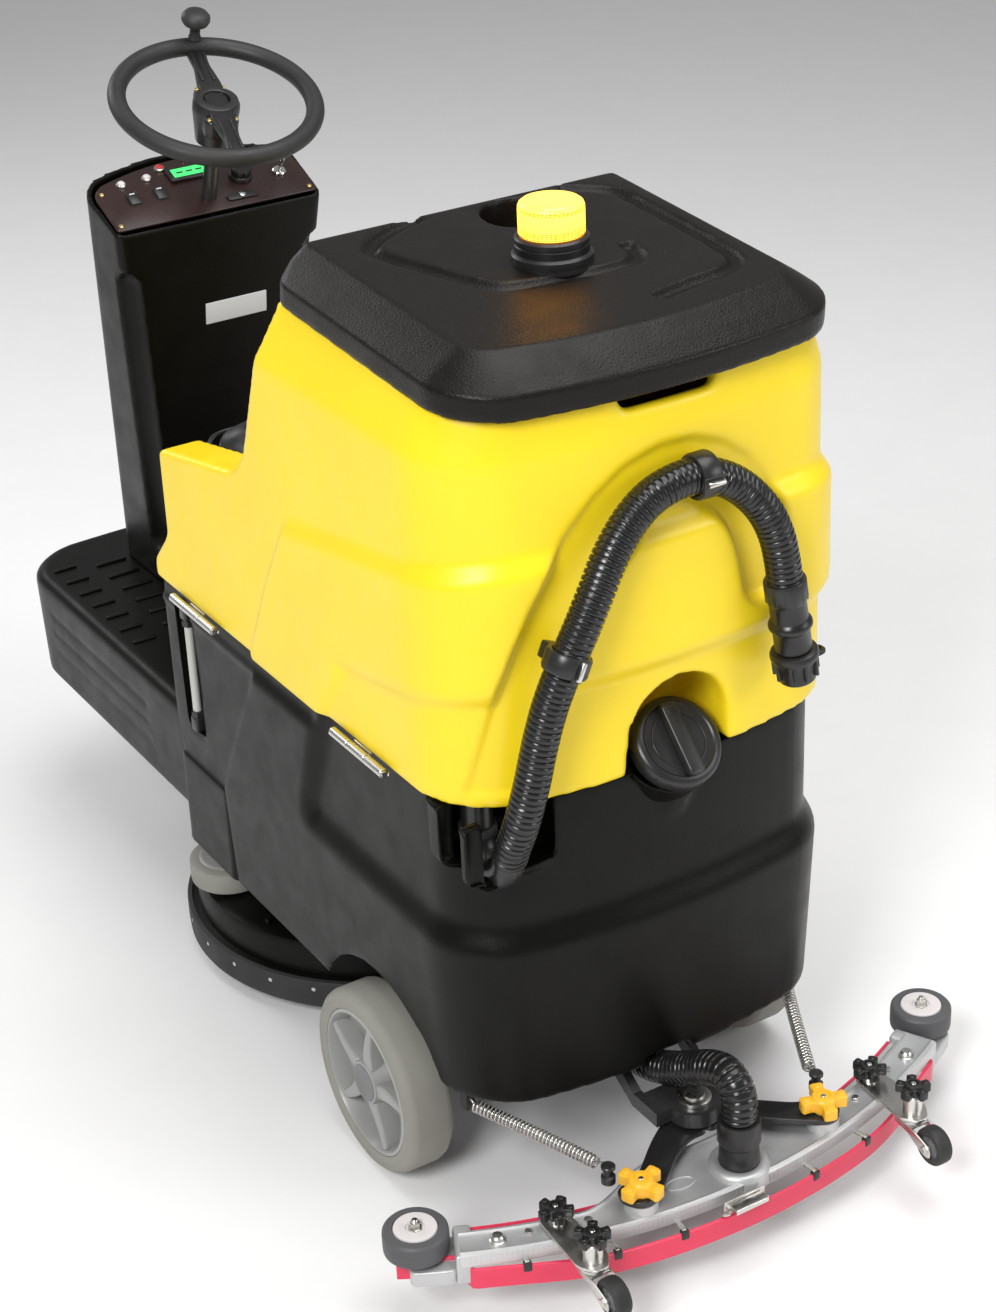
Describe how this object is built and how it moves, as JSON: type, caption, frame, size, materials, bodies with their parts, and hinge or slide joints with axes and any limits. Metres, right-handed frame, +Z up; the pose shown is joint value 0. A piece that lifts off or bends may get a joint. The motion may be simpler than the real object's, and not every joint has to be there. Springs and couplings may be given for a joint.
{
  "type": "ride-on floor scrubber",
  "caption": "Ride-on floor scrubber-dryer with a tilting recovery tank, driven and steered front wheel, brush deck and curved rear squeegee.",
  "frame": {"origin": "on the floor, under the middle of the machine's length and width", "axes": "+X the machine's left, +Y its rear, +Z up"},
  "size_m": [0.8606, 1.67, 1.2688],
  "materials": {
    "black_steel": "satin powder coat",
    "black_plastic": "rotomoulded, fine pebble",
    "panel_maroon": "printed overlay, satin",
    "black_trim": "moulded, satin",
    "battery_case": "moulded",
    "cast_housing": "painted",
    "clear_tube": "translucent tube",
    "bright_steel": "zinc plated",
    "yellow_plastic": "rotomoulded, satin",
    "seat_vinyl": "vinyl over foam",
    "black_rubber": "satin",
    "lid_plastic": "pebbled",
    "amber_lens": "ribbed, translucent",
    "grip_black": "soft touch",
    "black_tyre": "matt",
    "grey_tyre": "non-marking, matt",
    "brush_poly": "bristle",
    "cast_aluminium": "sand cast, machined top",
    "pink_rubber": "smooth",
    "orange_plastic": "moulded"
  },
  "bodies": {
    "machine": {"chassis_frame": "black_steel", "front_platform": "black_plastic", "solution_tank": "black_plastic", "console_column": "black_plastic", "console_plate": "panel_maroon", "display": "black_trim", "battery_pack": "battery_case", "steering_gearbox": "cast_housing", "sight_tube": "clear_tube", "tank_hinge_pins": "bright_steel", "deck_lift": "black_steel"},
    "recovery_tank": {"recovery_tank": "yellow_plastic", "tank_hinges": "bright_steel", "seat_cushion": "seat_vinyl", "vacuum_motor": "cast_housing", "hose_clips": "black_trim", "drain_elbow": "black_trim", "drain_hose": "black_rubber", "drain_cuff": "black_trim"},
    "drain_cap": {"drain_cap": "black_trim"},
    "lid": {"tank_lid": "lid_plastic", "lid_seal": "black_rubber", "beacon_base": "black_trim", "beacon_lens": "amber_lens"},
    "steering": {"steering_wheel": "grip_black", "steering_shaft": "black_steel"},
    "spinner_knob": {"spinner_knob": "grip_black"},
    "drive_fork": {"drive_fork": "black_steel"},
    "drive_wheel": {"drive_wheel": "black_tyre"},
    "rocker_left": {"rocker_left": "black_trim"},
    "rocker_right": {"rocker_right": "black_trim"},
    "speed_selector": {"speed_selector": "black_trim"},
    "key": {"key": "bright_steel"},
    "accelerator_pedal": {"accelerator_pedal": "black_rubber"},
    "filler_cap": {"filler_cap": "black_trim"},
    "rear_wheel_left": {"rear_wheel_left": "grey_tyre"},
    "rear_wheel_right": {"rear_wheel_right": "grey_tyre"},
    "brush_deck": {"deck_housing": "black_plastic", "deck_skirt": "black_rubber", "brush_motor": "cast_housing"},
    "brush": {"brush": "brush_poly"},
    "deck_roller": {"deck_roller": "grey_tyre"},
    "squeegee_lift": {"squeegee_bracket": "black_steel", "springs": "bright_steel", "vacuum_hose": "black_rubber"},
    "squeegee": {"squeegee_arm": "black_steel", "squeegee_casting": "cast_aluminium", "squeegee_blades": "pink_rubber", "squeegee_hardware": "bright_steel", "plate_knobs": "black_trim", "vacuum_cuff": "black_trim"},
    "blade_latch": {"blade_latch": "bright_steel"},
    "guide_wheel_left": {"guide_wheel_left": "grey_tyre"},
    "guide_wheel_right": {"guide_wheel_right": "grey_tyre"},
    "caster_left": {"caster_left": "bright_steel"},
    "caster_right": {"caster_right": "bright_steel"},
    "caster_wheel_left": {"caster_wheel_left": "black_rubber"},
    "caster_wheel_right": {"caster_wheel_right": "black_rubber"},
    "yellow_knob_left": {"yellow_knob_left": "orange_plastic"},
    "yellow_knob_right": {"yellow_knob_right": "orange_plastic"}
  },
  "joints": [
    {"name": "tank_tilt", "type": "hinge", "parent": "machine", "child": "recovery_tank", "pos_m": [0.287, 0, 0.62], "axis": [0, 1, 0], "range_deg": [0, 70]},
    {"name": "lid_open", "type": "hinge", "parent": "recovery_tank", "child": "lid", "pos_m": [0, 0.154, 1.118], "axis": [1, 0, 0], "range_deg": [0, 80]},
    {"name": "drain_cap_turn", "type": "hinge", "parent": "recovery_tank", "child": "drain_cap", "pos_m": [-0.13, 0.634, 0.832], "axis": [0.1564, 0, 0.9877], "range_deg": [0, 90]},
    {"name": "steering_turn", "type": "hinge", "parent": "machine", "child": "steering", "pos_m": [0, -0.483, 1.166], "axis": [0, 0.342, 0.9397], "range_deg": [-180, 180]},
    {"name": "drive_steer", "type": "hinge", "parent": "machine", "child": "drive_fork", "pos_m": [0, -0.665, 0.3], "axis": [0, 0, 1], "range_deg": [-60, 60]},
    {"name": "drive_spin", "type": "hinge", "parent": "drive_fork", "child": "drive_wheel", "pos_m": [0, -0.665, 0.11], "axis": [1, 0, 0], "continuous": true},
    {"name": "spinner_spin", "type": "hinge", "parent": "steering", "child": "spinner_knob", "pos_m": [-0.03082, -0.60844, 1.21166], "axis": [0, 0.342, 0.9397], "continuous": true},
    {"name": "rear_left_spin", "type": "hinge", "parent": "machine", "child": "rear_wheel_left", "pos_m": [0.27, 0.335, 0.125], "axis": [1, 0, 0], "continuous": true},
    {"name": "rear_right_spin", "type": "hinge", "parent": "machine", "child": "rear_wheel_right", "pos_m": [-0.27, 0.335, 0.125], "axis": [1, 0, 0], "continuous": true},
    {"name": "rocker_left_rock", "type": "hinge", "parent": "machine", "child": "rocker_left", "pos_m": [0.107, -0.55979, 1.0265], "axis": [1, 0, 0], "range_deg": [0, 14]},
    {"name": "rocker_right_rock", "type": "hinge", "parent": "machine", "child": "rocker_right", "pos_m": [0.065, -0.55979, 1.0265], "axis": [1, 0, 0], "range_deg": [0, 14]},
    {"name": "selector_turn", "type": "hinge", "parent": "machine", "child": "speed_selector", "pos_m": [-0.062, -0.56071, 1.02689], "axis": [0, 0.3923, 0.9198], "range_deg": [0, 270]},
    {"name": "key_turn", "type": "hinge", "parent": "machine", "child": "key", "pos_m": [-0.122, -0.55519, 1.02454], "axis": [0, 0.3923, 0.9198], "range_deg": [0, 90]},
    {"name": "pedal_press", "type": "hinge", "parent": "machine", "child": "accelerator_pedal", "pos_m": [-0.175, -0.535, 0.423], "axis": [1, 0, 0], "range_deg": [0, 15], "stiffness_Nm_per_rad": 4, "springref_deg": -11.46},
    {"name": "filler_cap_turn", "type": "hinge", "parent": "machine", "child": "filler_cap", "pos_m": [-0.01, 0.583, 0.634], "axis": [0, 0.7071, 0.7071], "range_deg": [0, 90]},
    {"name": "deck_raise", "type": "slide", "parent": "machine", "child": "brush_deck", "axis": [0, 0, 1], "range_m": [-0.02, 0]},
    {"name": "brush_spin", "type": "hinge", "parent": "brush_deck", "child": "brush", "pos_m": [0, -0.165, 0.08], "axis": [0, 0, 1], "continuous": true},
    {"name": "deck_roller_spin", "type": "hinge", "parent": "brush_deck", "child": "deck_roller", "pos_m": [0.217, -0.211, 0.14], "axis": [0, 0, 1], "continuous": true},
    {"name": "squeegee_lift", "type": "hinge", "parent": "machine", "child": "squeegee_lift", "pos_m": [0, 0.485, 0.214], "axis": [1, 0, 0], "range_deg": [-13, 0], "deforming": ["springs", "vacuum_hose"]},
    {"name": "squeegee_swing", "type": "hinge", "parent": "squeegee_lift", "child": "squeegee", "pos_m": [0, 0.635, 0.148], "axis": [0, 0, 1], "range_deg": [-15, 15], "stiffness_Nm_per_rad": 40},
    {"name": "latch_flip", "type": "hinge", "parent": "squeegee", "child": "blade_latch", "pos_m": [0.02, 0.768, 0.088], "axis": [1, 0, 0], "range_deg": [-60, 0]},
    {"name": "guide_left_spin", "type": "hinge", "parent": "squeegee", "child": "guide_wheel_left", "pos_m": [0.386, 0.61, 0.11], "axis": [0, 0, 1], "continuous": true},
    {"name": "guide_right_spin", "type": "hinge", "parent": "squeegee", "child": "guide_wheel_right", "pos_m": [-0.386, 0.61, 0.11], "axis": [0, 0, 1], "continuous": true},
    {"name": "caster_left_swivel", "type": "hinge", "parent": "squeegee", "child": "caster_left", "pos_m": [0.239, 0.767, 0.11], "axis": [0, 0, 1], "range_deg": [-90, 90]},
    {"name": "caster_right_swivel", "type": "hinge", "parent": "squeegee", "child": "caster_right", "pos_m": [-0.239, 0.767, 0.11], "axis": [0, 0, 1], "range_deg": [-90, 90]},
    {"name": "caster_left_spin", "type": "hinge", "parent": "caster_left", "child": "caster_wheel_left", "pos_m": [0.239, 0.81, 0.091], "axis": [1, 0, 0], "continuous": true},
    {"name": "caster_right_spin", "type": "hinge", "parent": "caster_right", "child": "caster_wheel_right", "pos_m": [-0.239, 0.81, 0.091], "axis": [1, 0, 0], "continuous": true},
    {"name": "yellow_left_turn", "type": "hinge", "parent": "squeegee", "child": "yellow_knob_left", "pos_m": [0.137, 0.718, 0.14], "axis": [0, 0, 1], "range_deg": [0, 360]},
    {"name": "yellow_right_turn", "type": "hinge", "parent": "squeegee", "child": "yellow_knob_right", "pos_m": [-0.137, 0.718, 0.14], "axis": [0, 0, 1], "range_deg": [0, 360]}
  ],
  "couplings": [
    {"joint": "drive_steer", "follows": "steering_turn", "ratio": 0.33333}
  ]
}
